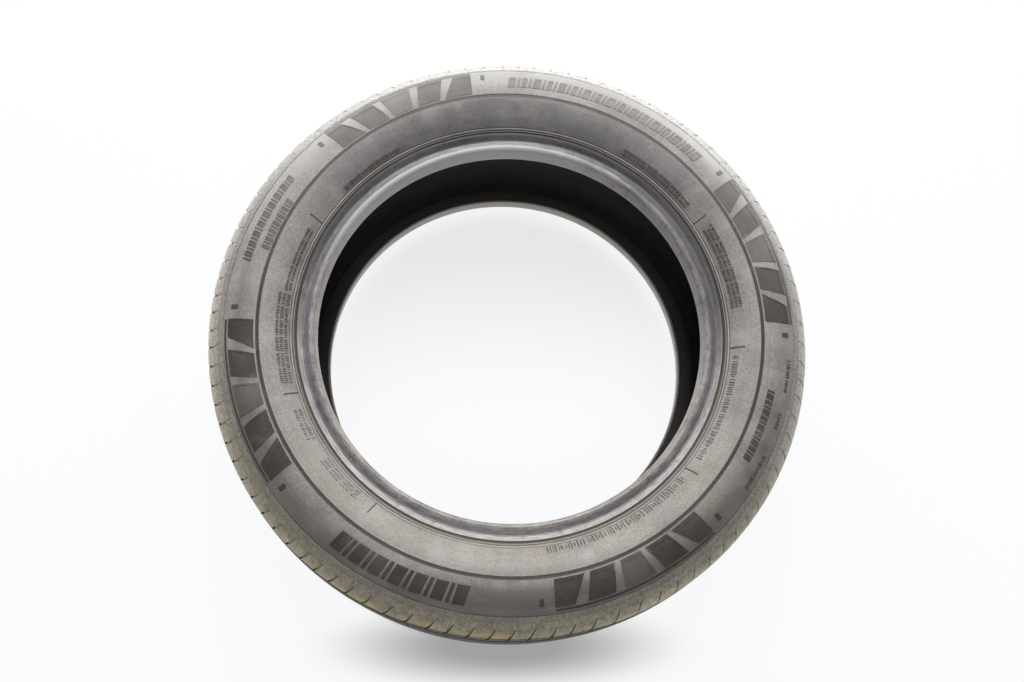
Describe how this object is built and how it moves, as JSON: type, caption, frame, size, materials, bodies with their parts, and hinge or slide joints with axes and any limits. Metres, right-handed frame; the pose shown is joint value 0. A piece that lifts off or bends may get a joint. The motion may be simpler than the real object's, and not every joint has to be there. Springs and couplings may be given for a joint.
{
  "type": "worn car tyre",
  "caption": "Worn passenger car tyre off its rim: open air chamber, tapered bead seats, ringed sidewalls and a shallow ribbed tread with slotted edges.",
  "frame": {"origin": "on the wheel axis, in the plane of the lower sidewall's crest, which is what the tyre lies on", "axes": "+Z along the wheel axis towards the sidewall that faces outwards on a car; +X and +Y across the tyre, with +Y towards the top of the outer sidewall as it is seen"},
  "size_m": [0.6779, 0.678, 0.2154],
  "materials": {
    "rubber": "matte, dusty and weathered"
  },
  "bodies": {
    "root": {"tyre": "rubber"}
  },
  "joints": []
}
